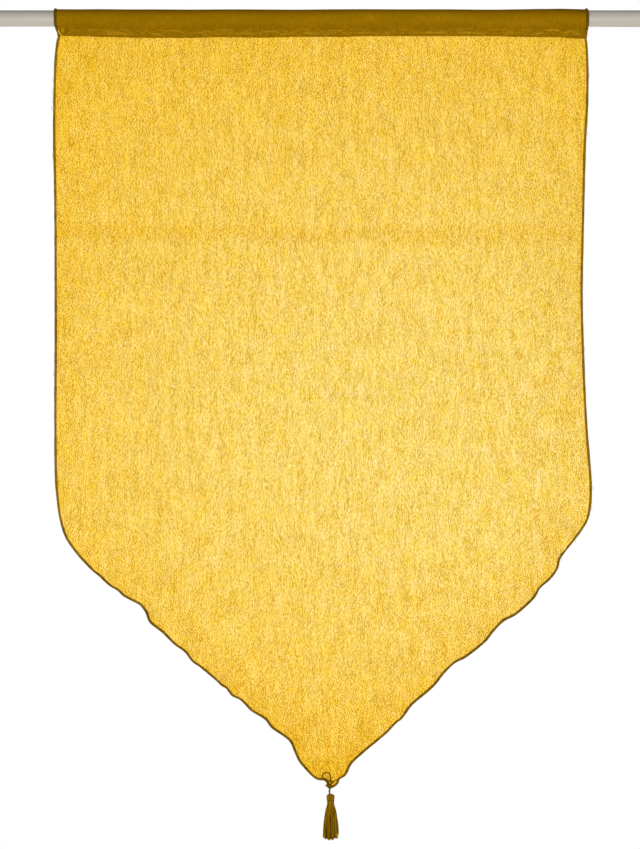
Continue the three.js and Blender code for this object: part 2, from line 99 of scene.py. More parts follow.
class Wire:
    """A socket in a material. Arithmetic on it adds Math nodes, and node() adds any other."""

    def __init__(self, tree, socket=None):
        self.tree = tree
        self.socket = socket

    def node(self, kind, settings=None, values=None, out=0):
        made = self.tree.nodes.new("ShaderNode" + kind)
        for name, value in (settings or {}).items():
            setattr(made, name, value)
        for name, value in (values or {}).items():
            if isinstance(value, Wire):
                self.tree.links.new(value.socket, made.inputs[name])
            else:
                made.inputs[name].default_value = value
        return Wire(self.tree, made.outputs[out])

    def calc(self, operation, *values):
        return self.node("Math", {"operation": operation}, dict(enumerate(values)))

    def __add__(self, other):
        return self.calc("ADD", self, other)

    def __mul__(self, other):
        return self.calc("MULTIPLY", self, other)

    def __sub__(self, other):
        return self.calc("SUBTRACT", self, other)

    def __rsub__(self, other):
        return self.calc("SUBTRACT", other, self)

    __radd__ = __add__
    __rmul__ = __mul__


def srgb(red, green, blue):
    """A colour as a screen shows it, 0 to 255, in the linear light that shaders use."""
    levels = np.array((red, green, blue)) / 255
    linear = np.where(levels <= 0.04045, levels / 12.92, ((levels + 0.055) / 1.055) ** 2.4)
    return (*linear, 1)


def blended(share, first, second):
    """Two colours mixed by a share."""
    mixed = {"data_type": "RGBA", "clamp_factor": True}
    return share.node("Mix", mixed, {0: share, 6: first, 7: second}, out=2)


def graded(share, *colours):
    """Three colours, from the first at a share of zero to the last at one."""
    made = share.node("ValToRGB", values={0: share})
    stops = made.socket.node.color_ramp.elements
    stops.new(0.5)
    for stop, colour in zip(stops, colours):
        stop.color = colour
    return made


def streaks(place, across, deep, along, detail=2.0):
    """Soft noise whose spots have that size along X, Y and Z, in millimetres, around zero."""
    scale = tuple(1 / (size * MM) for size in (across, deep, along))
    spread = place.node("VectorMath", {"operation": "MULTIPLY"}, {0: place, 1: scale})
    noise = place.node("TexNoise", {}, {"Vector": spread, "Scale": 1.0, "Detail": detail})
    return noise - 0.5


def coordinate(place, axis, unit=1):
    """How far along X, 0, or Z, 2, a place lies, in units of so many millimetres."""
    return place.node("SeparateXYZ", values={0: place}, out=axis) * (1 / (unit * MM))


def finish(name, values):
    """A new material, where a point of its piece lies, and its shader with these values."""
    material = bpy.data.materials.new(name)
    material.use_nodes = True
    tree = material.node_tree
    shader = tree.nodes["Principled BSDF"]
    for socket, value in values.items():
        shader.inputs[socket].default_value = value
    return material, Wire(tree).node("TexCoord", out=3), shader


def connect(shader, name, wire):
    wire.tree.links.new(wire.socket, shader.inputs[name])


def relief(shader, height, depth):
    """Bump from a height around zero, where a step of one is that many millimetres."""
    bump = height.node("Bump", {}, {"Height": height, "Distance": depth * MM, "Strength": 1.0})
    connect(shader, "Normal", bump)


LACQUER = srgb(203, 196, 183)
LACQUER_DARK_AND_SHADED = srgb(156, 150, 137)  # darker lacquer: the dark end of its cloudy and brushed tone, and painted shade over the rod's top

lacquered = {"Metallic": 0.0, "Coat Weight": 0.25, "Coat Roughness": 0.3}
rod_finish, place, shader = finish("satin_lacquer", lacquered)
cloudy = streaks(place, 60, 9, 9)
brushed = streaks(place, 24, 0.7, 0.7)
up = coordinate(place, 2, ROD_RADIUS)
# Painted shade: the lacquer gets darker towards the rod's top, on top of its cloudy and brushed tone.
tone_and_top_shade = 0.5 + 0.27 * cloudy + 0.11 * brushed + 0.55 * up * up * up
connect(shader, "Base Color", blended(tone_and_top_shade, LACQUER, LACQUER_DARK_AND_SHADED))
connect(shader, "Roughness", 0.36 + 0.1 * cloudy + 0.06 * brushed)
relief(shader, brushed, 0.01)
rod.data.materials.append(rod_finish)
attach(rod, "root")
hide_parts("rod")


# Heading: a band of plain dark mustard cloth that loops over the rod. Both its edges are
# turned in below the rod and sewn together through the top of the sheer cloth.
CLOTH = 0.5  # thickness of one layer
ROD_AIR = 0.35
SEAM_DOWN = 12.4  # from here down the two layers lie flat together
LAYER_OUT = 0.95  # middle of a layer, from the middle of the flap
TURN_OUT = 0.45  # middle of the edge turned in behind it
TURN_UP = 5
HEADING_PITCH = 1.7
MOUTH_INSET = 1.2  # the cloth ends this far inside the middle of each mouth's roll
SEWN_DOWN = (8, 11)  # between these depths the puckers of the sewing set in
ROUND_DOWN = (2.4, 10.4)  # and between these the soft waves over the rod die out
FLAP_DOWN = 10  # below this depth the cloth faces straight out

# Rows of threads on each side of the heading: up the turned-in edge, round its fold, up the
# flap, on to the rod and round it to the top.
TURN_ROWS = 4
FOLD_ROWS = 4
FLAP_ROWS = 9
RISE_ROWS = 4
ROUND_ROWS = 24


def table(columns, rows):
    """A short table, as one array for each of its named columns."""
    return dict(zip(columns.split(), np.array(rows, float).T))


def smoothstep(value, low, high):
    """Zero up to the low limit, one from the high one on, and smooth between them."""
    share = np.clip((value - low) / (high - low), 0, 1)
    return share * share * (3 - 2 * share)


def column(rows, key, value):
    """One column as a smooth function of another, level past its first and last row."""
    order = np.argsort(rows[key])
    places, values = rows[key][order], rows[value][order]

    def read(place):
        step = np.clip(np.searchsorted(places, place) - 1, 0, len(places) - 2)
        share = smoothstep(place, places[step], places[step + 1])
        return values[step] + (values[step + 1] - values[step]) * share

    return read


def laid_places(piece):
    """Where the vertices of a piece lie, in millimetres."""
    flat = np.empty(len(piece.data.vertices) * 3)
    piece.data.vertices.foreach_get("co", flat)
    return flat.reshape(-1, 3) / MM


def store(piece, name, values):
    """Keeps one number for each vertex of a piece, for its material to read."""
    piece.data.attributes.new(name, "FLOAT", "POINT").data.foreach_set("value", values)


def laid_grid(name, columns, rows, put):
    """A grid whose vertices are put where put(u, v) says, in millimetres, u and v from 0 to 1."""
    bpy.ops.mesh.primitive_grid_add(x_subdivisions=columns, y_subdivisions=rows, size=1)
    piece = bpy.context.object
    piece.name = name
    flat = laid_places(piece) * MM
    placed = put(flat[:, 0] + 0.5, 0.5 - flat[:, 1]) * MM
    piece.data.vertices.foreach_set("co", placed.ravel())
    piece.data.update()
    return piece


def thicken(piece, thickness):
    """Gives a sheet its thickness, half on each side, and smooth faces."""
    solidify = piece.modifiers.new("thickness", "SOLIDIFY")
    solidify.thickness = thickness * MM
    solidify.offset = 0
    solidify.use_rim = True
    bpy.ops.object.modifier_apply(modifier=solidify.name)
    bpy.ops.object.shade_smooth_by_angle(angle=math.radians(50))


# How far the heading stands off the rod's top, and how deep its lower edge hangs.
HEADING = table("at stands hem", [
    (-299, 0.3, 19.6), (-279, 0.2, 19.6), (-250, 0.5, 20.5), (-205, 0.1, 21.5), (-160, 0, 21.7),
    (-110, 0.2, 20.8), (-70, 0, 21.4), (-30, 0, 20.5), (20, 0.2, 20.5), (60, 0.4, 19.6),
    (130, 0.2, 19.7), (200, 0, 19.7), (225, 0.2, 20.5), (255, 0.6, 20.7), (275, 0.9, 21),
    (292, 0.6, 22.3), (303, 0.3, 22.3),
])

# Each open end of the pocket: how far out the middle of its roll stands at a height.
MOUTH = {
    -1: table("height out", [
        (12, 300.9), (6, 300.7), (-6, 300.6), (-11, 299.5), (-16, 297.6), (-22, 296.6),
    ]),
    1: table("height out", [
        (12, 300.0), (6, 300.9), (-9, 300.9), (-12, 300.3), (-17, 299.6), (-23, 299.0),
    ]),
}

# Soft puckers of the sewn flap, in front. In this table and those of the panel, lean is in
# degrees from level, and rise is towards the room.
PUCKERS = table("at height length width lean rise", [
    (-295.4, -14.5, 3.5, 0.7, -70, -0.3), (-292.6, -13, 3.2, 1.5, -80, 0.4),
    (-289.2, -14.8, 4.8, 0.9, 50, -0.7), (-283, -11, 3, 1.2, 0, 0.3),
    (-250, -12, 14, 0.9, 3, 0.35), (-236, -15.6, 11, 0.9, -2, 0.3),
    (-228, -17.5, 16, 0.8, 2, 0.3), (-196, -11.5, 9, 0.8, 5, 0.3),
    (-187, -17.3, 8, 0.9, -4, 0.35), (-170, -13.5, 10, 0.9, 0, 0.3),
    (-148, -11, 12, 0.8, -3, 0.3), (-133, -15.4, 16, 0.9, 2, 0.3),
    (-108, -12.6, 8, 0.8, -4, 0.28), (-92, -16.6, 13, 0.8, 1, 0.28), (-70, -11, 9, 0.9, 0, 0.35),
    (-57, -14.4, 12, 0.9, -5, 0.3), (-41, -17.2, 7, 0.9, 8, 0.35), (-16, -11.6, 8, 0.8, 3, 0.28),
    (-10, -16, 11, 0.9, 0, 0.32), (16, -13.4, 7, 0.8, 0, 0.28), (33, -10.8, 12, 0.8, -3, 0.3),
    (46, -15.8, 18, 0.8, 1, 0.32), (72, -17.6, 10, 0.8, 0, 0.26), (98, -11.4, 9, 0.8, 5, 0.26),
    (112, -15.4, 16, 0.8, 0, 0.3), (128, -15.6, 12, 0.8, 1, 0.3), (160, -11.6, 10, 0.8, 0, 0.26),
    (168, -15.7, 16, 0.8, 0, 0.3), (182, -17.8, 6, 0.9, -5, 0.32), (202, -12, 8, 0.8, 6, 0.26),
    (214, -16.4, 9, 0.8, 0, 0.26), (232, -12, 12, 0.9, 0, 0.32), (245, -16.8, 8, 0.8, 4, 0.28),
    (262, -12.6, 9, 0.9, -4, 0.32), (278, -15, 7, 0.9, 20, 0.3), (289, -16.8, 6, 0.9, -18, 0.35),
])

stands_at = column(HEADING, "at", "stands")
hem_at = column(HEADING, "at", "hem")
mouth_at = {side: column(rows, "height", "out") for side, rows in MOUTH.items()}


def fold_rise(folds, across, down, sharpness=2):
    """Sum of soft folds at a place: each is long along its lean and narrow over it."""
    rise = np.zeros_like(across)
    for at, height, length, width, lean, lift in zip(*folds.values()):
        turn = math.radians(lean)
        x, y = across - at, down - height
        along = (x * math.cos(turn) + y * math.sin(turn)) / length
        over = (y * math.cos(turn) - x * math.sin(turn)) / width
        rise = rise + lift * np.exp(-np.abs(along) ** 4 - np.abs(over) ** sharpness)
    return rise


def uneven_wave(run, length, drift, over):
    """A wave along a run, whose crests come now sooner and now later by a drift."""
    return np.sin(run / length + drift * np.sin(run / over))


def hug(radius, foot_out, foot_down, straight, round_steps):
    """Depths and heights from a foot below the rod, straight to it and round to its top."""
    reach = math.hypot(foot_out, foot_down)
    start = math.atan2(-foot_down, foot_out) + math.acos(radius / reach)
    turn = np.linspace(start, math.pi / 2, round_steps)
    rounded = np.stack([radius * np.cos(turn), radius * np.sin(turn)], 1)
    share = np.linspace(0, 1, straight, endpoint=False)[:, None]
    return np.vstack([(1 - share) * (foot_out, -foot_down) + share * rounded[0], rounded])


def pocket_rows(hem, stands):
    """Depth and height of each row of the heading, from its front turning over the rod to
    its back turning. Hem and stands are arrays along the heading."""
    bend = (LAYER_OUT - TURN_OUT) / 2
    middle = (TURN_OUT + LAYER_OUT) / 2
    level = np.ones_like(hem)
    half = []
    for share in np.linspace(0, 1, TURN_ROWS):
        half.append((TURN_OUT * level, -hem + bend + (1 - share) * TURN_UP))
    for turn in np.linspace(math.pi, 2 * math.pi, FOLD_ROWS + 2)[1:-1]:
        depth = middle + bend * math.cos(turn)
        half.append((depth * level, -hem + bend + bend * math.sin(turn)))
    for share in np.linspace(0, 1, FLAP_ROWS, endpoint=False):
        half.append((LAYER_OUT * level, (1 - share) * (-hem + bend) - share * SEAM_DOWN))
    radius = ROD_RADIUS + ROD_AIR + CLOTH / 2
    for depth, height in hug(radius, LAYER_OUT, SEAM_DOWN, RISE_ROWS, ROUND_ROWS):
        half.append((depth * level, height + stands * max(0, height / radius)))
    front = [(-depth, height) for depth, height in half]
    back = half[-2::-1]
    return np.array(front + back)


def heading_place(u, v):
    """Where a thread crossing of the heading lies: u along it, v from front hem to back hem."""
    span = HEADING["at"][-1] - HEADING["at"][0]
    columns = np.unique(np.round(u, 6))
    at = HEADING["at"][0] + columns * span
    rows = pocket_rows(hem_at(at), stands_at(at))
    row = np.clip(np.round(v * (len(rows) - 1)).astype(int), 0, len(rows) - 1)
    index = np.searchsorted(columns, np.round(u, 6))
    depth, height = rows[row, 0, index], rows[row, 1, index]
    left = -mouth_at[-1](height) + MOUTH_INSET
    right = mouth_at[1](height) - MOUTH_INSET
    across = left + u * (right - left)
    puckers = np.where(row < len(rows) // 2, fold_rise(PUCKERS, across, height), 0)
    waves = 0.06 * uneven_wave(across, 11, 1.5, 37) + 0.05 * np.sin(across / 4.3 + height / 3)
    over_rod = 0.1 * np.interp(-height, ROUND_DOWN, (1, 0)) * np.sin(across / 17)
    out = (puckers + waves) * np.interp(-height, SEWN_DOWN, (0, 1)) + over_rod
    turned_in = np.minimum(row, len(rows) - 1 - row) < TURN_ROWS
    out = np.where(turned_in, 0, out)
    flat = height < -FLAP_DOWN
    radius = np.hypot(depth, height)
    outward_depth = np.where(flat, np.sign(depth), depth / radius)
    outward_height = np.where(flat, 0, height / radius)
    return np.stack([across, depth + out * outward_depth, height + out * outward_height], 1)


heading_rows = len(pocket_rows(np.ones(1), np.ones(1))) - 1
heading_columns = round((HEADING["at"][-1] - HEADING["at"][0]) / HEADING_PITCH)
heading = laid_grid("pocket_heading", heading_columns, heading_rows, heading_place)
across, depth, height = laid_places(heading).T
store(heading, "above_hem", height + hem_at(across))
# The puckers' rise, which the material turns into painted highlights and painted shade.
store(heading, "rise", fold_rise(PUCKERS, across, height) * (depth < 0))
thicken(heading, CLOTH)
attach(heading, "root")
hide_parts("heading")


def stored(wire, name):
    """What store() kept under a name."""
    return wire.node("Attribute", {"attribute_name": name}, out=2)


def fade(value, none, full, kind="SMOOTHSTEP"):
    """Zero where a value is at the first limit or beyond, and one at the second."""
    return value.node("MapRange", {"interpolation_type": kind}, {0: value, 1: none, 2: full})


def peak(value, middle, width):
    """A soft peak of one where a value passes the middle, gone two widths away from it."""
    apart = (value - middle) * (1 / width)
    return value.calc("EXPONENT", -1 * (apart * apart))


def yarn_tones(place, across, along, pitch, length, shift=0.0):
    """Threads side by side at a pitch, each with its own run of thick and thin spots, around
    zero. Across and along are the axes, 0 for X and 2 for Z, sizes are in millimetres, and
    shift is where in the first thread the axis lies."""
    over = coordinate(place, across, pitch) + shift
    lengthwise = coordinate(place, along, length)
    lot = place.node("TexWhiteNoise", {"noise_dimensions": "1D"}, {"W": place.calc("FLOOR", over)})
    spots = {"W": lengthwise + 700 * lot, "Scale": 1.0, "Detail": 2.0, "Roughness": 1.0}
    return place.node("TexNoise", {"noise_dimensions": "1D"}, spots) - 0.5


MUSTARD = srgb(140, 101, 0)
MUSTARD_DEEP = srgb(98, 68, 0)
MUSTARD_PALE = srgb(196, 152, 30)
FLAP_FADE = (9.5, 8.0)  # heights above the hem between which the look of the flap sets in

matt = {"Roughness": 0.85, "Specular IOR Level": 0.015}
heading_finish, place, shader = finish("dark_mustard_cloth", matt)
above_hem, rise = stored(place, "above_hem"), stored(place, "rise")
upright = yarn_tones(place, 0, 2, pitch=1.1, length=14)
level = yarn_tones(place, 2, 0, pitch=0.7, length=12)
cloudy = streaks(place, 40, 30, 12)
speckle = streaks(place, 3.2, 2, 0.8, detail=3.0)
flap = fade(above_hem, *FLAP_FADE)
# The flap's pale specks and threads, painted highlights on the crests of its puckers, painted shade in
# their hollows, and a faint painted shade line just above its hem.
flap_tone_and_light = 0.6 * speckle + 0.7 * level + 0.6 * rise - 0.1 * peak(above_hem, 1.5, 0.5)
# Painted shade where the cloth turns up over the rod's top.
rod_top_shade = 0.16 * peak(above_hem, 29.0, 3.4) + 0.3 * peak(above_hem, 31.6, 1.5)
tone = 0.5 + 0.3 * upright + 0.2 * cloudy + flap * flap_tone_and_light - rod_top_shade
connect(shader, "Base Color", graded(tone, MUSTARD_DEEP, MUSTARD, MUSTARD_PALE))
relief(shader, upright + level + flap * speckle, 0.12)
heading.data.materials.append(heading_finish)


# Panel: one cut length of sheer yellow cloth with uneven upright slubs. Its top is caught
# in the heading's flap, and it hangs free from there to the point.
SHEER = 0.4  # thickness of the cloth
SHEER_TOP = 15.2  # its upper edge, between the layers of the flap
HEM_DOWN = 20.5  # where it comes out of the flap
SEAM_HOLD = 130  # below there it takes this far to leave its flat plane
POINT_HOLD = 65  # and above the point it comes back to that plane within this
RIPPLE_REACH = 26  # how far the edge's ripples run into the cloth
PUCKER_REACH = 9  # and the small gathers that the overlock draws
PUCKER_LIFT = 0.28
PANEL_INSET = 0.5  # the cloth ends this far inside the middle of its roll
PANEL_COLUMNS = 138
PANEL_ROWS = 226
CROWDING = 0.45  # how much closer its columns lie at the edges than in the middle
LAST_ROW = 0.9993  # share of each edge's length at which the last row starts
EDGE_STEPS = 24  # points of the edge's line from one of its places to the next
EDGE_SAMPLES = 900  # points of it among which the nearest one is found
PLACES_AT_ONCE = 2000  # of the cloth, so that little memory is used

# The panel's edge, as the middle of its roll: a row for each crest and hollow down to the
# point. Lift is how far the ripple stands towards the room.
EDGE = {
    -1: table("down out lift", [
        (21.5, 297.2, 0), (26.5, 298.6, 0), (31, 299.2, 0), (47, 300.7, 1), (115, 302.2, 4),
        (154, 302, 3), (178, 301.6, -1), (262, 301.1, -3), (364, 300.7, -1), (450, 301, 2),
        (522, 300.2, 0), (545, 298.4, -2), (566, 295.4, -2), (586, 288.8, 2), (602, 278.3, 3),
        (624, 258.7, -2), (630.5, 250.7, -3), (641, 239.2, 1), (646.6, 229.6, 3),
        (652.4, 223.6, 1), (659.8, 210.6, -3), (662.8, 205, -4), (672, 197.7, -1),
        (682, 193.5, 4), (694.6, 178.8, -2), (707.5, 166, -4), (716, 153.8, 1), (727, 145, 4),
        (733.5, 136.2, -1), (749, 117.9, -3), (754, 112.3, 2), (757.2, 106.8, 3),
        (761.6, 103.6, 3), (765.6, 100.3, 2), (770, 91.6, -2), (776.2, 84.9, -2),
        (782, 79.5, -1), (792.5, 62.5, 4), (802, 55.3, -1), (817, 35.3, -4), (829, 29.3, 3),
        (838.5, 25.1, 2), (846, 19.4, 1), (856, 10.5, -2), (860.4, 4, -1), (861.4, -4, -1),
        (864.1, -6.8, 0), (870.3, -10.4, 0),
    ]),
    1: table("down out lift", [
        (22, 299.0, 0), (27, 299.8, 0), (47, 300.9, 2), (95, 300.8, 3), (143, 298.5, -1),
        (239, 296.5, -4), (302, 295.2, -5), (375, 296.5, -3), (466, 300.3, 2), (525, 304.6, 3),
        (548, 304.4, 1), (566, 301.2, -2), (578, 294.5, -3), (588.5, 286.4, 2), (602, 276, -3),
        (611, 269.3, 2), (622, 266.4, 4), (634, 257.9, 0), (644, 247, -4), (655, 240, 1),
        (674, 218.7, 3), (681, 206, -2), (695, 192.6, -3), (704, 185.2, 2), (722, 162.7, 3),
        (729, 150.5, -3), (741, 138.2, -4), (754.5, 127, 2), (772, 106.7, 1), (778, 100.7, -3),
        (792, 90.2, 2), (796, 84.8, 3), (807.5, 74, -2), (817, 63, -3), (830, 46.7, 2),
        (843, 33.2, 3), (856, 26.5, -1), (860.5, 19.8, -1), (865, 18.3, 0), (868.4, 14.5, 0),
        (870.3, 10.4, 0),
    ]),
}
POINT_DOWN = EDGE[1]["down"][-1]

# Folds of the hanging cloth, as its solid has them.
FOLDS = table("at down length width lean rise", [
    (-232, 330, 260, 62, 90, -5), (-95, 470, 290, 80, 85, 4.5), (62, 560, 300, 84, 96, -5),
    (196, 430, 280, 70, 86, 5), (292, 300, 190, 40, 90, -4), (4, 770, 130, 62, 87, 4),
    (150, 450, 150, 15, 14, 1), (-150, 243, 240, 9, 0, -2), (170, 243, 220, 9, 1, -2.2),
    (-20, 627, 250, 13, -1, 1.6),
])

# Sharper creases from packing and handling.
CREASES = table("at down length width lean rise", [
    (-150, 238, 150, 3, 0.5, 0.7), (120, 240, 190, 3.2, -0.6, 0.8), (-40, 622, 240, 4, 0, 0.6),
    (95, 455, 70, 5, -16, 0.9), (160, 432, 84, 6, -13, 0.8), (215, 462, 60, 5, -20, 0.8),
    (58, 476, 46, 5, -24, 0.7), (-188, 506, 60, 6, 74, 0.7), (238, 560, 52, 5, 62, 0.8),
    (-226, 560, 44, 5, -50, 0.9), (-64, 742, 46, 5, -70, 1), (46, 792, 38, 4, 64, 1),
    (128, 690, 50, 5, 52, 0.9),
])

# Painted shade on the cloth: along the line it was folded on for packing, and in the gathers beside the
# hollows of the edge.
SHADE_PATCHES = table("at down length width lean rise", [
    (-150, 242.6, 175, 8.5, 0.3, 0.75), (150, 243, 175, 8.5, -0.2, 0.7),
    (-27.5, 818.8, 15, 4, 57, 0.9), (-61.5, 789.4, 5, 3, 40, 0.9), (-98.8, 757.6, 10, 3, 80, 0.5),
    (-119, 737, 14, 3.5, 95, 0.4), (-149.8, 718, 7, 4, 45, 0.8), (-225.6, 646.7, 6, 3, 35, 0.6),
    (-256, 621.8, 6, 3, 40, 0.5), (264.5, 615, 8, 4, 100, 0.8), (286, 578.8, 7, 4, 130, 0.5),
    (253, 649, 14, 4, 115, 0.4), (193, 686, 8, 5, -40, 0.6), (168, 720, 12, 5, -45, 0.4),
    (104, 756, 9, 7, 80, 0.4), (137, 710, 8, 8, 80, 0.3), (8, 860, 20, 12, 10, 0.4),
    (-292, 22, 8, 6, 40, 0.7), (14, 845, 9, 12, 80, 0.5), (20, 860, 170, 90, 0, 0.6),
])

# How much painted shade darkens the cloth in its creases, in the gathers beside its edges, near the
# edges, at its top, and from its second fold down, and how far that reaches.
CREASE_SHADE = 0.35
GATHER_SHADE = 0.25
GATHER_UNEVEN = 0.12
GATHER_REACH = 5
BORDER_SHADE = 0.32
BORDER_REACH = 34
TOP_SHADE = 0.3
TOP_REACH = 70
SECOND_FOLD_SHADE = 0.22
SECOND_FOLD = (613, 637)


def smooth_line(places, steps=EDGE_STEPS):
    """A smooth curve through the places, with that many steps between each two."""
    places = np.asarray(places, float)
    ends = np.vstack([2 * places[0] - places[1], places, 2 * places[-1] - places[-2]])
    share = np.linspace(0, 1, steps, endpoint=False)[:, None]
    line = []
    for before, start, stop, after in zip(ends, ends[1:], ends[2:], ends[3:]):
        pairs = ((before, start), (start, stop), (stop, after))
        gap = [math.sqrt(np.linalg.norm(b - a)) for a, b in pairs]
        leave = (start - before) / gap[0] - (stop - before) / (gap[0] + gap[1]) + (stop - start) / gap[1]
        arrive = (stop - start) / gap[1] - (after - start) / (gap[1] + gap[2]) + (after - stop) / gap[2]
        line.append(
            (2 * share**3 - 3 * share**2 + 1) * start
            + (share**3 - 2 * share**2 + share) * leave * gap[1]
            + (3 * share**2 - 2 * share**3) * stop
            + (share**3 - share**2) * arrive * gap[1]
        )
    return np.vstack([*line, places[-1:]])


def run_of(line):
    """How far each point of a line lies along it."""
    return np.concatenate([[0], np.cumsum(np.linalg.norm(np.diff(line, axis=0), axis=1))])


def points_along(line, shares, values=None):
    """Points of a line at shares of its length, or the values that it has there."""
    run = run_of(line)
    wanted = np.asarray(shares) * run[-1]
    values = line if values is None else values
    return np.stack([np.interp(wanted, run, axis) for axis in values.T], 1)


edge_line = {
    side: smooth_line(np.stack([side * rows["out"], -rows["lift"], -rows["down"]], 1))
    for side, rows in EDGE.items()
}


def nearest_edge(across, down, side):
    """Distance to one edge of the panel, with the lift there and how far along it that is."""
    line = points_along(edge_line[side], np.linspace(0, 1, EDGE_SAMPLES))
    run = run_of(line)
    places = np.stack([across, -down], 1)
    found = []
    for part in np.array_split(places, max(1, len(places) // PLACES_AT_ONCE)):
        apart = (part[:, :1] - line[:, 0]) ** 2 + (part[:, 1:] - line[:, 2]) ** 2
        best = apart.argmin(1)
        found.append((np.sqrt(apart.min(1)), line[best, 1], run[best]))
    return np.hstack(found)


def near(distance, reach):
    """One at an edge, and softly gone two reaches away from it."""
    return np.exp(-((distance / reach) ** 2))


def gathers(run, side):
    """The small gathers that the overlock draws into the cloth, along an edge."""
    return uneven_wave(run, 2.6, 2, 31) + np.sin(run / 4.1 + side)


def cloth_depth(across, down):
    """Depth of the hanging cloth: its folds and creases, and each edge's ripples and gathers."""
    leave_seam = smoothstep(down, HEM_DOWN, HEM_DOWN + SEAM_HOLD)
    reach_point = smoothstep(POINT_DOWN - down, 0, POINT_HOLD)
    depth = -fold_rise(FOLDS, across, down) * leave_seam * reach_point
    depth = depth - fold_rise(CREASES, across, down, sharpness=1.5) * reach_point
    for side in EDGE:
        distance, lift, run = nearest_edge(across, down, side)
        depth = depth + lift * near(distance, RIPPLE_REACH)
        reach = near(distance, PUCKER_REACH) * leave_seam
        depth = depth + PUCKER_LIFT * gathers(run, side) * reach
    return depth


def cloth_painted_shade(across, down):
    """How much painted shade darkens the cloth here: in its shade patches, creases and gathers, near its
    edges and top, and below its second fold.
    """
    painted_shade = fold_rise(SHADE_PATCHES, across, down)
    painted_shade += CREASE_SHADE * fold_rise(CREASES, across, down)
    painted_shade += TOP_SHADE * np.exp(-down / TOP_REACH)
    painted_shade += SECOND_FOLD_SHADE * smoothstep(down, *SECOND_FOLD)
    for side in EDGE:
        distance, _, run = nearest_edge(across, down, side)
        gather_shade = GATHER_SHADE + GATHER_UNEVEN * gathers(run, side)
        painted_shade += BORDER_SHADE * near(distance, BORDER_REACH)
        painted_shade += gather_shade * near(distance, GATHER_REACH)
    return painted_shade


def inset_line(side, shares, inset):
    """The edge at those shares, moved into the cloth, as places across and up."""
    places = points_along(edge_line[side], shares)[:, [0, 2]]
    ahead = np.gradient(places, axis=0)
    ahead /= np.linalg.norm(ahead, axis=1)[:, None]
    return places + side * inset * ahead[:, ::-1] * (1, -1)


def panel_place(u, v):
    """Where a thread crossing of the panel lies: u across it, v from the seam to the point."""
    close = u - CROWDING * np.sin(2 * math.pi * u) / (2 * math.pi)
    row = np.round(v * PANEL_ROWS).astype(int)
    shares = np.linspace(0, LAST_ROW, PANEL_ROWS)
    left, right = (inset_line(side, shares, PANEL_INSET)[np.maximum(row - 1, 0)] for side in EDGE)
    across, height = (left + close[:, None] * (right - left)).T
    height = np.where(row == 0, -SHEER_TOP, height)
    return np.stack([across, cloth_depth(across, -height), height], 1)


panel = laid_grid("sheer_panel", PANEL_COLUMNS, PANEL_ROWS, panel_place)
across, _, height = laid_places(panel).T
store(panel, "painted_shade", cloth_painted_shade(across, -height))
thicken(panel, SHEER)
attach(panel, "root")
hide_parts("panel")


def crossings(place, pitch, shift):
    """Where two threads cross: every crossing is lighter or darker by chance, around zero,
    and set off a little from the next one to its right."""
    right, up = (coordinate(place, axis, pitch) + shift for axis in (0, 2))
    lot = place.calc("FLOOR", right) + 1000 * place.calc("FLOOR", up)
    here = lot.node("TexWhiteNoise", {"noise_dimensions": "1D"}, {"W": lot})
    beside = lot.node("TexWhiteNoise", {"noise_dimensions": "1D"}, {"W": lot + 1})
    return here - 0.5 - 0.32 * (beside - 0.5)


def multiplied(first, second):
    """Two colours multiplied."""
    settings = {"data_type": "RGBA", "blend_type": "MULTIPLY"}
    return first.node("Mix", settings, {0: 1.0, 6: first, 7: second}, out=2)


# The palest thread under the painted pool of light in the cloth's middle, and under the painted shade
# round it. What multiplies it: the usual thread, the deepest ones, and the amber tinge of some patches.
LIT = srgb(255, 236, 168)
UNLIT = srgb(250, 210, 70)
PALEST = (1, 1, 1, 1)
USUAL = srgb(248, 236, 214)
DEEPEST = srgb(206, 182, 104)
AMBER = srgb(255, 249, 172)
LIT_ACROSS = (100, 460)  # middle of the painted pool of light, and how far it reaches
LIT_UP = (-470, 410)
WEAVE_PITCH = 1.132  # the finest grain of the weave that shows from the camera
WEAVE_SHIFT = 0.3  # where in the first thread the middle of the cloth lies
YARN_SPOT = 5  # length of the thick and thin spots of the threads
SLUB_SPOT = 48  # and of the slubs

sheer = {"Roughness": 0.85, "Specular IOR Level": 0.04}
sheer_finish, place, shader = finish("sheer_slub_cloth", sheer)
crossing = crossings(place, WEAVE_PITCH, WEAVE_SHIFT)
warp = yarn_tones(place, 0, 2, WEAVE_PITCH, YARN_SPOT, WEAVE_SHIFT)
slub = yarn_tones(place, 0, 2, WEAVE_PITCH, SLUB_SPOT, WEAVE_SHIFT)
weft = yarn_tones(place, 2, 0, WEAVE_PITCH, YARN_SPOT, WEAVE_SHIFT)
uneven = streaks(place, 14, 60, 20)
patchy = streaks(place, 4.5, 60, 7) + 0.6 * streaks(place, 18, 60, 24)
streaky = streaks(place, 9, 60, 34)
# Painted shade darkens the threads and the ground where the cloth is creased or gathered, near its edges
# and top, and below its second fold.
panel_shade = stored(place, "painted_shade")
grain = (
    0.5 + 1.15 * crossing + 0.35 * warp + 0.8 * slub + 0.3 * weft
    + 0.8 * streaky + 0.15 * patchy - 0.12 * panel_shade
)
yarn = graded(grain, DEEPEST, USUAL, PALEST)
tint = blended(0.5 + 2.5 * patchy, AMBER, PALEST)
# Painted light: the ground colour is paler in a broad pool in the cloth's middle and darker round it.
glow = peak(coordinate(place, 0), *LIT_ACROSS) * peak(coordinate(place, 2), *LIT_UP)
ground = blended(0.75 * glow + 0.5 * uneven - 0.18 * panel_shade, UNLIT, LIT)
connect(shader, "Base Color", multiplied(multiplied(ground, tint), yarn))
connect(shader, "Alpha", 0.955 - 0.02 * crossing)
relief(shader, warp, 0.05)
panel.data.materials.append(sheer_finish)


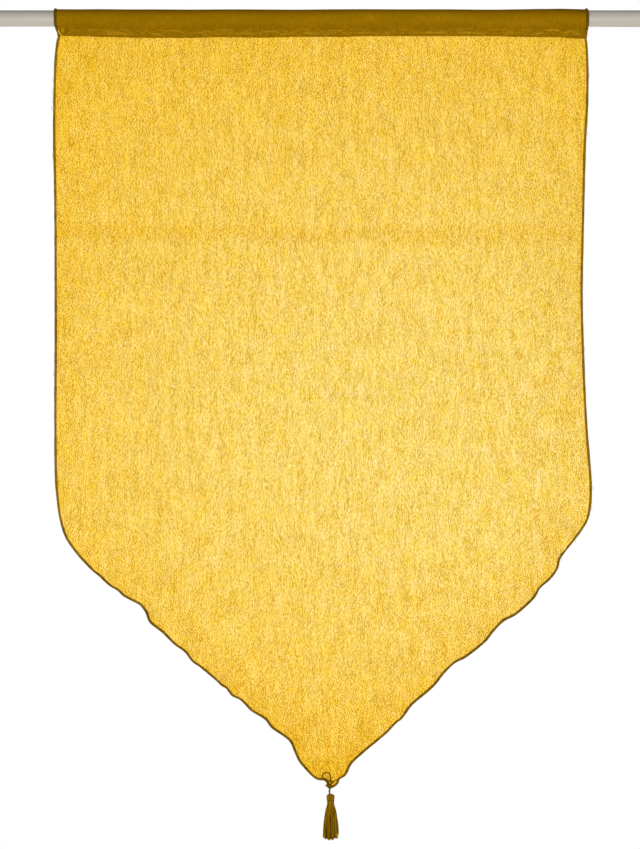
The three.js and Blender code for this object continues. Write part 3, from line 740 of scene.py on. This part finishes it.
# Edging: overlock thread wound closely round the raw edge, so that the edge is a narrow
# dark roll from seam to seam, round the point, and round each mouth of the pocket.
THREAD = 0.5
CORE_IN = 0.6  # the roll inside is thinner than the whole by this share of the thread
STITCH_PITCH = 1.15
STITCH_POINTS = 8  # points of the thread's line in each turn
STITCH_SLIP = 0.5  # how far a turn of the thread may be out of step, in radians
ROLL_WIDE = 3.15
ROLL_THICK = 1.9
ROLL_SIDES = 10
ROLL_STEPS = 560  # places along each edge of the panel
ROLL_LEAD = np.arange(15, 21)  # depths at which the panel's roll starts, inside the flap
MOUTH_WIDE = 3.2
MOUTH_THICK = 1.9
MOUTH_AIR = 0.3
MOUTH_ROWS = (5, 16)  # points of its line up to the rod, and round it to the top
MOUTH_STEPS = 70  # places along the whole of it
MOUTH_FOOT = 1.3  # middle of the mouth's roll, from the middle of the flap
MOUTH_ENDS = 0.4  # it ends this far above the hem
MOUTH_LEG = 2.5  # its straight leg reaches up to this far below the seam
MOUTH_OPENS = 1  # and it parts from the flap this far below it
MOUTH_FLAT = 9  # below this depth it faces straight out

random = np.random.default_rng(11)


def frame_along(line, face):
    """Unit vectors across a line: face on, and sideways."""
    ahead = np.gradient(line, axis=0)
    ahead /= np.linalg.norm(ahead, axis=1)[:, None]
    across = np.cross(ahead, face)
    across /= np.linalg.norm(across, axis=1)[:, None]
    return np.cross(across, ahead), across


def swelling(line):
    """How much thicker or thinner than usual a roll is along its line."""
    run = run_of(line)
    return 1 + 0.07 * uneven_wave(run, 23, 2, 90) + 0.05 * uneven_wave(run, 5.3, 1, 17)


def oval(middle, out, side, thick, wide, turn):
    """Places round an oval section, each by its turn from the face."""
    return middle + out * (thick * np.cos(turn))[:, None] + side * (wide * np.sin(turn))[:, None]


def wound_line(line, face, wide, thick):
    """The path of the thread that is wound round a flat roll along a line."""
    run = run_of(line)
    turns = run[-1] / STITCH_PITCH
    share = np.linspace(0, 1, int(turns * STITCH_POINTS))
    out, side = (points_along(line, share, axis) for axis in frame_along(line, face))
    slips = random.uniform(-1, 1, int(turns) + 2)
    slip = STITCH_SLIP * np.interp(share * turns, np.arange(len(slips)), slips)
    turn = share * turns * 2 * math.pi + slip
    full = np.interp(share * run[-1], run, swelling(line)) / 2
    return oval(points_along(line, share), out, side, full * thick, full * wide, turn)


def thread_piece(name, lines, thickness, fine=1, widths=None):
    """Threads along lines of points, as one mesh with closed ends. Fine is how round they
    are, and widths are shares of the thickness at each line's points."""
    drawn = bpy.data.curves.new(name, "CURVE")
    drawn.dimensions = "3D"
    drawn.bevel_depth = thickness / 2 * MM
    drawn.bevel_resolution = fine
    drawn.use_fill_caps = True
    for number, line in enumerate(lines):
        spline = drawn.splines.new("POLY")
        spline.points.add(len(line) - 1)
        places = np.hstack([np.asarray(line) * MM, np.ones((len(line), 1))])
        spline.points.foreach_set("co", places.ravel())
        if widths is not None:
            spline.points.foreach_set("radius", np.asarray(widths[number], float))
    piece = bpy.data.objects.new(name, drawn)
    scene.collection.objects.link(piece)
    bpy.ops.object.select_all(action="DESELECT")
    piece.select_set(True)
    bpy.context.view_layer.objects.active = piece
    bpy.ops.object.convert(target="MESH")
    bpy.ops.object.shade_smooth()
    return bpy.context.object


def roll_piece(name, line, face, wide, thick):
    """A closed roll of oval section along a line, drawn in to a point at both ends."""
    out, side = frame_along(line, face)
    last = len(line) - 1

    def place_on_roll(u, v):
        step = np.round(u * last).astype(int)
        full = np.where((step == 0) | (step == last), 0, swelling(line)[step] / 2)
        return oval(line[step], out[step], side[step], full * thick, full * wide, v * 2 * math.pi)

    piece = laid_grid(name, last, ROLL_SIDES, place_on_roll)
    bpy.ops.object.mode_set(mode="EDIT")
    bpy.ops.mesh.select_all(action="SELECT")
    bpy.ops.mesh.remove_doubles(threshold=1e-6)
    bpy.ops.mesh.normals_make_consistent(inside=False)
    bpy.ops.object.mode_set(mode="OBJECT")
    bpy.ops.object.shade_smooth()
    return piece


def overlocked(roll_name, stitches_name, line, face, wide, thick):
    """A roll along a line with the thread wound round it, as two pieces."""
    core = (wide - CORE_IN * THREAD, thick - CORE_IN * THREAD)
    roll = roll_piece(roll_name, line, face, *core)
    stitches = thread_piece(stitches_name, [wound_line(line, face, *core)], THREAD, fine=0)
    return [roll, stitches]


around = []
for side in EDGE:
    lead = np.stack([side * mouth_at[side](-ROLL_LEAD), 0 * ROLL_LEAD, -ROLL_LEAD], 1)
    hanging = points_along(edge_line[side], np.linspace(0, 1, ROLL_STEPS))
    hanging[:, 1] = cloth_depth(hanging[:, 0], -hanging[:, 2])
    around.append(np.vstack([lead, hanging]))
around = np.vstack([around[0][:-1], around[1][::-1]])
facing = np.tile((0.0, -1.0, 0.0), (len(around), 1))
round_panel = overlocked("edging_roll", "edging_stitches", around, facing, ROLL_WIDE, ROLL_THICK)
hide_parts("edging")

edging_pieces = [*round_panel]
for side, word, hem in ((-1, "left", HEADING["hem"][0]), (1, "right", HEADING["hem"][-1])):
    radius = ROD_RADIUS + MOUTH_AIR + MOUTH_THICK / 2
    hugging = hug(radius, MOUTH_FOOT, SEAM_DOWN + MOUTH_OPENS, *MOUTH_ROWS)
    leg = [(MOUTH_FOOT, -down) for down in np.linspace(hem - MOUTH_ENDS, SEAM_DOWN + MOUTH_LEG, 5)]
    half = np.vstack([leg, hugging])
    loop = np.vstack([half * (-1, 1), half[-2::-1]])
    line = np.stack([side * mouth_at[side](loop[:, 1]), loop[:, 0], loop[:, 1]], 1)
    line = points_along(line, np.linspace(0, 1, MOUTH_STEPS))
    outward = line * (0, 1, 1)
    outward[outward[:, 2] < -MOUTH_FLAT, 2] = 0
    outward /= np.linalg.norm(outward, axis=1)[:, None]
    names = (f"mouth_roll_{word}", f"mouth_stitches_{word}")
    pair = overlocked(*names, line, outward, MOUTH_WIDE, MOUTH_THICK)
    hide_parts(f"mouth_edging_{word}")
    edging_pieces += pair

# Loose ends of the overlock, and the fold of the roll beside the knot, a thicker thread.
LOOSE_ENDS = table("side down reach curl", [
    (-1, 66, 5, 0.8), (-1, 78, 8, 1.0), (-1, 90, 7, 1.3), (-1, 99, 6, 1.8), (-1, 152, 4, 0.7),
    (-1, 402, 4, 0.8), (1, 61, 5, 0.8), (1, 128, 4, 0.7), (1, 372, 4, 0.7), (1, 530, 4, 2.2),
    (1, 552, 4, 0.8), (1, 590, 3, 1.4), (1, 610, 4, 1.2),
])
LOOSE_THREAD = 0.35
TUCK = [(19.0, -1.2, -860.6), (16.6, -1.9, -862.2), (13.4, -2.4, -863.2)]
TUCK_THREAD = 0.9


def loose_end(side, down, reach, curl):
    """A short end of thread that leaves the roll and curls outwards."""
    line = edge_line[side]
    start = np.abs(line[:, 2] + down).argmin()
    foot = line[start] + (side * ROLL_WIDE * 0.3, -0.4, 0)
    share = np.linspace(0, 1, 9)
    outwards = side * (0.6 + curl * np.sin(share * math.pi))
    return np.stack([foot[0] + outwards, foot[1] - 0.3 * share, foot[2] - reach * share], 1)


loose_lines = [loose_end(*row) for row in zip(*LOOSE_ENDS.values())]
loose = thread_piece("edging_loose_ends", loose_lines, LOOSE_THREAD)
tuck = thread_piece("edging_tuck", [smooth_line(TUCK, 6)], TUCK_THREAD)
edging_pieces += [loose, tuck]

THREAD_DARK = srgb(98, 70, 4)
THREAD_LIGHT = srgb(170, 131, 12)
DARKER_ROUND_MOUTHS = (-26, 6)  # heights between which the roll gets darker, up round the mouths
DARKER_DOWN_POINT = (-560, -640)  # and between which it does down the point

overlock = {"Roughness": 0.8, "Specular IOR Level": 0.03}
thread_finish, place, shader = finish("overlock_thread", overlock)
up = coordinate(place, 2)
mottle = streaks(place, 5, 5, 5)
fibre = streaks(place, 0.5, 0.5, 0.5)
tone = 0.43 + 1.2 * mottle + 0.9 * fibre - 0.6 * fade(up, *DARKER_ROUND_MOUTHS) - 0.24 * fade(up, *DARKER_DOWN_POINT)
connect(shader, "Base Color", blended(tone, THREAD_DARK, THREAD_LIGHT))
relief(shader, fibre, 0.08)
for piece in edging_pieces:
    piece.data.materials.append(thread_finish)
    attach(piece, "root")


# Sliver: the raw edge of the sheer cloth, which is caught in the flap a little askew, so
# that it peeps out at the flap's left end.
SLIVER = [(-297.8, -10.2), (-297.5, -13.2), (-296.4, -15.8), (-295.0, -17.9), (-293.2, -19.4)]
SLIVER_DEPTH = -2.0
SLIVER_WIDE = 1.3

sliver_line = smooth_line([(at, SLIVER_DEPTH, height) for at, height in SLIVER], 6)
thickness = 0.5 + 0.5 * np.sin(np.linspace(0.1, math.pi, len(sliver_line)))
sliver = thread_piece("sheer_sliver", [sliver_line], SLIVER_WIDE, widths=[thickness])
sliver.data.materials.append(sheer_finish)
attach(sliver, "root")


# Seams: two slightly uneven rows of paler lockstitch close the pocket below the rod, and
# the same again behind.
SEAM_THREAD = 0.34
SEAM_STITCH = 2.7
SEAM_GAP = 0.7
SEAM_UNEVEN = 0.12  # of a stitch's length, and of its height in millimetres
SEAM_SUNK = np.array([0.25, 0, -0.05, 0, 0.25])  # how deep a stitch lies, end to end
SEAM_ROWS = {
    "upper": [
        (-294, -12.6), (-250, -12.2), (-200, -12.6), (-150, -12.0), (-60, -12.4), (0, -12.6),
        (60, -12.2), (130, -12.6), (200, -12.9), (260, -13.2), (297, -13.0),
    ],
    "lower": [
        (-291, -17.5), (-240, -16.9), (-180, -17.7), (-120, -16.6), (-60, -17.0), (0, -16.0),
        (60, -15.8), (130, -15.4), (200, -15.8), (250, -16.6), (296, -17.9),
    ],
}


def stitch_lines(row, side):
    """One short line for each stitch of a row, before the flap, -1, or behind it, 1. Each
    rises out of the cloth and goes back in."""
    line = smooth_line([(at, 0, height) for at, height in row])
    length = run_of(line)[-1]
    points = len(SEAM_SUNK)
    lines = []
    for start in np.arange(0, length - SEAM_STITCH, SEAM_STITCH + SEAM_GAP):
        reach = SEAM_STITCH * (1 + SEAM_UNEVEN * random.uniform(-1, 1))
        places = points_along(line, np.linspace(start, start + reach, points) / length)
        places[:, 2] += SEAM_UNEVEN * random.uniform(-1, 1, points)
        puckered = fold_rise(PUCKERS, places[:, 0], places[:, 2]) * (side < 0)
        places[:, 1] = side * (LAYER_OUT + CLOTH / 2 + SEAM_THREAD / 3 + puckered - SEAM_SUNK)
        lines.append(places)
    return lines


SEAM_COLOUR = srgb(146, 105, 0)
SEAM_COLOUR_PALE = srgb(206, 160, 34)

seam_finish, place, shader = finish("seam_thread", {"Roughness": 0.8, "Specular IOR Level": 0.06})
fibre = streaks(place, 0.4, 0.4, 0.4)
uneven = streaks(place, 9, 9, 9)
connect(shader, "Base Color", blended(0.2 + fibre + 3 * uneven, SEAM_COLOUR, SEAM_COLOUR_PALE))

for word, side in (("front", -1), ("back", 1)):
    lines = [line for row in SEAM_ROWS.values() for line in stitch_lines(row, side)]
    seam = thread_piece(f"seam_stitches_{word}", lines, SEAM_THREAD)
    seam.data.materials.append(seam_finish)
    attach(seam, "root")


# Tassel tie: a thin two-ply thread that lies in a loose ring on the cloth, is knotted
# through the point, and runs on as the short stem that the tassel hangs from.
RING = [
    (10.2, -863), (10.4, -860), (10.3, -857), (9.1, -854.4), (6.2, -853.2), (3.2, -854.2),
    (1.1, -856.6), (1.9, -859.3), (4.2, -860.1), (6.4, -861.4), (8.3, -863.6),
]
RING_DEPTH = -1.9
RING_PLY = 0.85
RING_TWIST = 0.32  # how far each ply lies from the thread's middle, as a share of it
STEM = [(9.8, -3.6, -869.5), (9.5, -3.3, -872), (9.2, -3.4, -874.5), (9.6, -3.4, -879)]
STEM_PLY = 1.75
STEM_TWIST = 0.12
PLY_LAY = 3.5  # length of one turn of the plies, in thicknesses of a ply
PLY_STEP = 0.35  # distance between the points of its line
KNOT = [
    (6.6, -3.2, -863.4), (9.8, -4.2, -862.8), (13.3, -3.6, -863.6), (12.2, -3.0, -864.8),
    (10.9, -3.2, -866.2), (10.9, -3.6, -868.4), (9.3, -4.0, -870.6), (7.3, -3.4, -869.0),
    (6.8, -3.2, -866.6), (7.6, -2.8, -864.2),
]
KNOT_TURN = [(6.8, -3.6, -868.0), (9.2, -4.9, -867.9), (11.2, -3.8, -868.6)]
KNOT_END = [(8.0, -3.6, -867.6), (6.2, -4.2, -867.8), (4.6, -3.8, -867.7)]
KNOT_THREAD = 1.9


def plied(line, ply, twist):
    """A thread of two plies of that thickness, laid round each other."""
    line = points_along(line, np.linspace(0, 1, int(run_of(line)[-1] / PLY_STEP)))
    face = np.tile((0.0, -1.0, 0.001), (len(line), 1))
    out, side = frame_along(line, face)
    turn = run_of(line) / (PLY_LAY * ply) * 2 * math.pi
    offset = twist * ply * (out * np.cos(turn)[:, None] + side * np.sin(turn)[:, None])
    return [line + offset, line - offset]


ring_line = smooth_line([(at, RING_DEPTH, height) for at, height in RING])
knot_lines = [smooth_line(line) for line in (KNOT, KNOT_TURN, KNOT_END)]
tie_ring = thread_piece("tie_ring", plied(ring_line, RING_PLY, RING_TWIST), RING_PLY)
tie_stem = thread_piece("tie_stem", plied(smooth_line(STEM), STEM_PLY, STEM_TWIST), STEM_PLY)
tie_knot = thread_piece("tie_knot", knot_lines, KNOT_THREAD, fine=2)
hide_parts("tassel_tie")


# Tassel: soft mustard thread folded over its own tie, bound round the neck with a few
# turns and cut below, so that the ends hang as a flared skirt in uneven locks.
TASSEL_AXIS = (10.45, -3.4)
TASSEL_TOP = -877.5
TASSEL_LENGTH = 52.3
LEAN = 0.5  # how far its end hangs to the right of its top
YARN = 0.9
HEAD_YARN = 0.855  # drawn a little thinner over the top
HEAD_YARNS = 32
HEAD_DOWNS = (-0.1, 0.1, 0.6, 1.8, 3.8, 6.2, 7.6, 8.8)
HEAD_EYE = 0.6  # radius at which the yarns of the head come together on top
NECK_DOWN = 7.0
BAND_TURNS = 3
BAND_THREAD = 0.8
BAND_RADIUS = 3.7
BAND_STEPS = 24
BAND_REACH = 0.9  # how far the band reaches up and down from the neck
SKIRT_DOWN = 7.4  # where the yarns of the skirt come out of the neck
SKIRT_POINTS = 12
LOCK_TURN = math.radians(30)
LOCK_START = math.radians(-92)
LOCK_PULL = 0.35  # how far the outer yarns of a lock draw together at its end
LOCK_PARTS = (14, 34)  # depths between which the locks part from each other

# The tassel's outline: its radius and how far below the top.
OUTLINE = table("down radius", [
    (0, 1.4), (0.5, 3.3), (1.3, 4.4), (3.5, 4.7), (6.9, 4.3), (8.0, 4.0), (10.3, 4.0), (12.0, 4.3),
    (13.7, 4.8), (16.0, 5.5), (19.4, 6.4), (23.9, 7.1), (29.5, 7.9), (35.2, 8.6), (40.9, 9.0),
    (47.7, 9.3), (53.0, 9.2),
])

# The yarns of the skirt in rings: how many, and how far out, as a share of the outline.
SKIRT = table("count share", [(40, 1.0), (36, 0.84), (28, 0.67), (20, 0.5), (12, 0.32), (5, 0.12)])

# Where each lock of the skirt ends, going round from the left.
LOCK_LENGTHS = (49.5, 50.4, 51.7, 51.3, 49.8, 45.6, 44.6, 49.0, 50.8, 51.0, 50.0, 49.0)
LOCK_ROUND = 1.2  # how much shorter its outermost yarns are

# One thin fibre curls out of the skirt at its lower right.
CURL = [
    (18.2, -3.6, -915), (19.2, -3.8, -919.6), (19.3, -3.6, -923.5), (18.6, -3.4, -926.6),
    (17.2, -3.2, -928),
]
CURL_THREAD = 0.7


def tassel_place(turn, down, radius):
    """A place on the tassel by its turn from the front, its depth below the top and its radius."""
    turn = turn + 0 * down
    return np.stack([
        TASSEL_AXIS[0] + LEAN * down / TASSEL_LENGTH + radius * np.sin(turn),
        TASSEL_AXIS[1] - radius * np.cos(turn),
        TASSEL_TOP - down,
    ], 1)


def outline_at(down):
    """Radius of the tassel's outline at a depth below its top."""
    return np.interp(down, OUTLINE["down"], OUTLINE["radius"])


def head_yarn(turn):
    """One yarn of the head, from its top down into the neck."""
    down = np.array(HEAD_DOWNS)
    radius = outline_at(down) - YARN / 2
    radius[0] = HEAD_EYE
    return smooth_line(tassel_place(turn, down, radius), 3)


def skirt_yarn(turn, share):
    """One yarn of the skirt, which falls from the neck to the end of its lock."""
    lock = math.floor((turn - LOCK_START) / LOCK_TURN)
    middle = LOCK_START + (lock + 0.5) * LOCK_TURN
    aside = (turn - middle) / (LOCK_TURN / 2)
    length = LOCK_LENGTHS[lock % len(LOCK_LENGTHS)] - LOCK_ROUND * aside**2
    down = np.linspace(SKIRT_DOWN, length + random.uniform(-0.3, 0.2), SKIRT_POINTS)
    fall = (down - down[0]) / (down[-1] - down[0])
    pull = LOCK_PULL * fall * max(0, 2 * share - 1)
    sway = random.uniform(-0.03, 0.03) * np.sin(fall * 5)
    radius = outline_at(down) - YARN / 2 - 0.25 * (1 - share)
    strayed = share * radius + random.uniform(-0.12, 0.05)
    return smooth_line(tassel_place(turn + (middle - turn) * pull + sway, down, strayed), 2)


turns = np.arange(HEAD_YARNS) / HEAD_YARNS * 2 * math.pi
head = thread_piece("tassel_head", [head_yarn(turn) for turn in turns], HEAD_YARN)

turn = np.linspace(0, BAND_TURNS * 2 * math.pi, BAND_STEPS * BAND_TURNS)
down = NECK_DOWN + np.linspace(-BAND_REACH, BAND_REACH, len(turn))
band = thread_piece("tassel_band", [tassel_place(turn, down, BAND_RADIUS)], BAND_THREAD)

yarns = []
for count, share in zip(*SKIRT.values()):
    for number in range(int(count)):
        turn = (number + random.uniform(-0.2, 0.2)) / count * 2 * math.pi
        yarns.append(skirt_yarn(turn, share))
skirt = thread_piece("tassel_skirt", yarns, YARN)
curl = thread_piece("tassel_curl", [smooth_line(CURL)], CURL_THREAD)

# Painted shade inside the skirt: a yarn is darker the deeper inside it lies, and the nearer it lies to a
# gap between its locks.
across, depth, height = laid_places(skirt).T
down = TASSEL_TOP - height
aside = across - TASSEL_AXIS[0] - LEAN * down / TASSEL_LENGTH
ahead = TASSEL_AXIS[1] - depth
phase = (np.arctan2(aside, ahead) - LOCK_START) / LOCK_TURN % 1
between = np.abs(2 * phase - 1) ** 4 * smoothstep(down, *LOCK_PARTS)
store(skirt, "inside", 1 - np.hypot(aside, ahead) / outline_at(down) + 0.16 * between)
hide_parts("tassel")

YARN_DARK = srgb(72, 42, 0)
YARN_LIGHT = srgb(160, 122, 0)

soft = {"Roughness": 0.6, "Specular IOR Level": 0.03}
yarn_finish, place, shader = finish("tassel_yarn", soft)
strand = streaks(place, 1.3, 1.3, 26)
fibre = streaks(place, 0.3, 0.3, 1.2)
inside = stored(place, "inside")
up = coordinate(place, 2)
band_shade = peak(up, TASSEL_TOP - NECK_DOWN, BAND_THREAD)
tied = fade(up, TASSEL_TOP - 1, TASSEL_TOP + 1, kind="LINEAR")
# Painted shade darkens the skirt's inner yarns and the gaps between its locks.
tone = 0.6 + 1.9 * strand + 0.8 * fibre - 2.1 * inside - 0.3 * band_shade - 0.3 * tied
connect(shader, "Base Color", blended(tone, YARN_DARK, YARN_LIGHT))
relief(shader, fibre, 0.1)
for piece in (tie_ring, tie_stem, tie_knot, head, band, skirt, curl):
    piece.data.materials.append(yarn_finish)
    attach(piece, "root")


# Light: a white studio, with one large soft light before the cloth and a fainter one
# behind it, and a plain pale floor under the curtain.
FLOOR_DOWN = 1350
FLOOR_SIZE = 3200
LIGHT_SIZE = 1600
LIGHT_AIM = (0, 0, -450)
ROOM_GLOW = 0.4  # light from the white room itself, which the camera sees as full white

bpy.ops.mesh.primitive_plane_add(size=FLOOR_SIZE * MM, location=(0, 0, -FLOOR_DOWN * MM))
floor = bpy.context.object
floor.name = "floor"
painted = {"Base Color": srgb(226, 225, 222), "Roughness": 0.7}
floor.data.materials.append(finish("pale_floor", painted)[0])

world = bpy.data.worlds.new("studio")
scene.world = world
world.use_nodes = True
world_wire = Wire(world.node_tree)
background = world.node_tree.nodes["Background"]
seen = world_wire.node("LightPath")
strength = ROOM_GLOW + (1 - ROOM_GLOW) * seen
world.node_tree.links.new(strength.socket, background.inputs["Strength"])
background.inputs["Color"].default_value = (1, 1, 1, 1)


def soft_light(name, power, place):
    """A square studio light at a place, turned to the cloth's middle."""
    data = bpy.data.lights.new(name, "AREA")
    data.size = LIGHT_SIZE * MM
    data.energy = power
    lamp = bpy.data.objects.new(name, data)
    scene.collection.objects.link(lamp)
    lamp.location = Vector(place) * MM
    facing = Vector(LIGHT_AIM) - Vector(place)
    lamp.rotation_euler = facing.to_track_quat("-Z", "Y").to_euler()
    lamp.visible_camera = False


soft_light("front_light", power=46, place=(0, -2400, -560))
soft_light("back_light", power=36, place=(-200, 2400, -300))

scene.view_settings.view_transform = "Standard"
